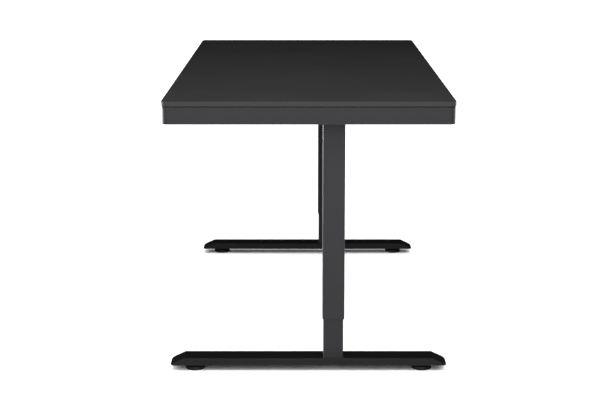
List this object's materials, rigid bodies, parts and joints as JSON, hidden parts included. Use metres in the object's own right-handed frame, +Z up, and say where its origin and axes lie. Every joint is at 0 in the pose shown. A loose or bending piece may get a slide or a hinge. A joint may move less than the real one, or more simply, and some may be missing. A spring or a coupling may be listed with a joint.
{
  "type": "height adjustable standing desk",
  "caption": "Rectangular sit-stand desk with a thin board on a shallow steel apron, square telescoping motor columns, low flat feet and round levelling glides.",
  "frame": {"origin": "on the floor under the middle of the desk at its stored height", "axes": "+X along the desk's length towards its right end, +Y from the user's side to the back, +Z up"},
  "size_m": [1.4, 0.7, 0.7],
  "materials": {
    "board": "matt black laminate on a dense wood-based board",
    "foam": "matt closed-cell foam",
    "painted_steel": "fine satin black powder coat",
    "plated_steel": "black zinc plate",
    "bright_steel": "ground and lightly oiled",
    "bronze": "machined",
    "cast_alloy": "fine die-cast skin",
    "guide_plastic": "smooth slippery moulding",
    "black_plastic": "fine moulded texture",
    "circuit": "solder mask",
    "display": "smoked window",
    "lead": "smooth sheath"
  },
  "bodies": {
    "base_left": {"foot_left": "painted_steel", "foot_fixings_left": "plated_steel", "inner_tube_left": "painted_steel", "upper_guide_left": "guide_plastic", "nut_carrier_left": "guide_plastic", "lead_nut_left": "guide_plastic"},
    "base_right": {"foot_right": "painted_steel", "foot_fixings_right": "plated_steel", "inner_tube_right": "painted_steel", "upper_guide_right": "guide_plastic", "nut_carrier_right": "guide_plastic", "lead_nut_right": "guide_plastic"},
    "top": {"tabletop": "board", "top_gasket": "foam", "apron": "painted_steel", "top_screws": "plated_steel", "rail_front": "painted_steel", "rail_back": "painted_steel", "frame_bolts": "plated_steel", "thrust_bearings": "bright_steel", "head_channel_left": "painted_steel", "head_channel_right": "painted_steel", "outer_tube_left": "painted_steel", "outer_tube_right": "painted_steel", "lower_sleeve_left": "guide_plastic", "lower_sleeve_right": "guide_plastic", "gearbox_case_left": "cast_alloy", "gearbox_case_right": "cast_alloy", "gearbox_cover_left": "cast_alloy", "gearbox_cover_right": "cast_alloy", "motor_can_left": "painted_steel", "motor_can_right": "painted_steel", "motor_end_cap_left": "black_plastic", "motor_end_cap_right": "black_plastic", "control_box_base": "painted_steel", "control_box_cover": "black_plastic", "control_board": "circuit", "mains_inlet": "black_plastic", "keypad_bezel": "black_plastic", "keypad_case": "black_plastic", "keypad_board": "circuit", "keypad_display": "display", "control_leads": "lead", "lead_clips": "black_plastic"},
    "screw_left": {"lead_screw_left": "bright_steel", "worm_wheel_left": "bronze"},
    "screw_right": {"lead_screw_right": "bright_steel", "worm_wheel_right": "bronze"},
    "worm_left": {"motor_shaft_left": "bright_steel"},
    "worm_right": {"motor_shaft_right": "bright_steel"},
    "glide_front_left": {"glide_front_left": "black_plastic"},
    "glide_back_left": {"glide_back_left": "black_plastic"},
    "glide_front_right": {"glide_front_right": "black_plastic"},
    "glide_back_right": {"glide_back_right": "black_plastic"},
    "key_up": {"key_up": "black_plastic"},
    "key_down": {"key_down": "black_plastic"},
    "key_preset_1": {"key_preset_1": "black_plastic"},
    "key_preset_2": {"key_preset_2": "black_plastic"},
    "key_preset_3": {"key_preset_3": "black_plastic"},
    "key_memory": {"key_memory": "black_plastic"}
  },
  "joints": [
    {"name": "lift", "type": "slide", "parent": "base_left", "child": "top", "axis": [0, 0, 1], "range_m": [-0.02, 0.4]},
    {"name": "lift_right_column", "type": "slide", "parent": "top", "child": "base_right", "axis": [0, 0, -1], "range_m": [-0.02, 0.4]},
    {"name": "screw_left_spin", "type": "hinge", "parent": "top", "child": "screw_left", "pos_m": [-0.5825, 0.0625, 0.4], "axis": [0, 0, 1], "range_deg": [-900, 18000]},
    {"name": "screw_right_spin", "type": "hinge", "parent": "top", "child": "screw_right", "pos_m": [0.5825, 0.0625, 0.4], "axis": [0, 0, 1], "range_deg": [-900, 18000]},
    {"name": "motor_left_spin", "type": "hinge", "parent": "top", "child": "worm_left", "pos_m": [-0.5, 0.0445, 0.667], "axis": [1, 0, 0], "range_deg": [-18000, 360000]},
    {"name": "motor_right_spin", "type": "hinge", "parent": "top", "child": "worm_right", "pos_m": [0.5, 0.0445, 0.667], "axis": [-1, 0, 0], "range_deg": [-18000, 360000]},
    {"name": "glide_front_left_level", "type": "slide", "parent": "base_left", "child": "glide_front_left", "axis": [0, 0, -1], "range_m": [-0.0025, 0.005]},
    {"name": "glide_back_left_level", "type": "slide", "parent": "base_left", "child": "glide_back_left", "axis": [0, 0, -1], "range_m": [-0.0025, 0.005]},
    {"name": "glide_front_right_level", "type": "slide", "parent": "base_right", "child": "glide_front_right", "axis": [0, 0, -1], "range_m": [-0.0025, 0.005]},
    {"name": "glide_back_right_level", "type": "slide", "parent": "base_right", "child": "glide_back_right", "axis": [0, 0, -1], "range_m": [-0.0025, 0.005]},
    {"name": "key_up_press", "type": "slide", "parent": "top", "child": "key_up", "axis": [0, 1, 0], "range_m": [0, 0.0008], "stiffness_N_per_m": 1000, "springref_m": -0.0005},
    {"name": "key_down_press", "type": "slide", "parent": "top", "child": "key_down", "axis": [0, 1, 0], "range_m": [0, 0.0008], "stiffness_N_per_m": 1000, "springref_m": -0.0005},
    {"name": "key_preset_1_press", "type": "slide", "parent": "top", "child": "key_preset_1", "axis": [0, 1, 0], "range_m": [0, 0.0008], "stiffness_N_per_m": 1000, "springref_m": -0.0005},
    {"name": "key_preset_2_press", "type": "slide", "parent": "top", "child": "key_preset_2", "axis": [0, 1, 0], "range_m": [0, 0.0008], "stiffness_N_per_m": 1000, "springref_m": -0.0005},
    {"name": "key_preset_3_press", "type": "slide", "parent": "top", "child": "key_preset_3", "axis": [0, 1, 0], "range_m": [0, 0.0008], "stiffness_N_per_m": 1000, "springref_m": -0.0005},
    {"name": "key_memory_press", "type": "slide", "parent": "top", "child": "key_memory", "axis": [0, 1, 0], "range_m": [0, 0.0008], "stiffness_N_per_m": 1000, "springref_m": -0.0005}
  ],
  "couplings": [
    {"joint": "lift_right_column", "follows": "lift", "ratio": 1},
    {"joint": "screw_left_spin", "follows": "lift", "rad_per_m": 785.4},
    {"joint": "screw_right_spin", "follows": "lift", "rad_per_m": 785.4},
    {"joint": "motor_left_spin", "follows": "lift", "rad_per_m": 15708},
    {"joint": "motor_right_spin", "follows": "lift", "rad_per_m": 15708}
  ]
}
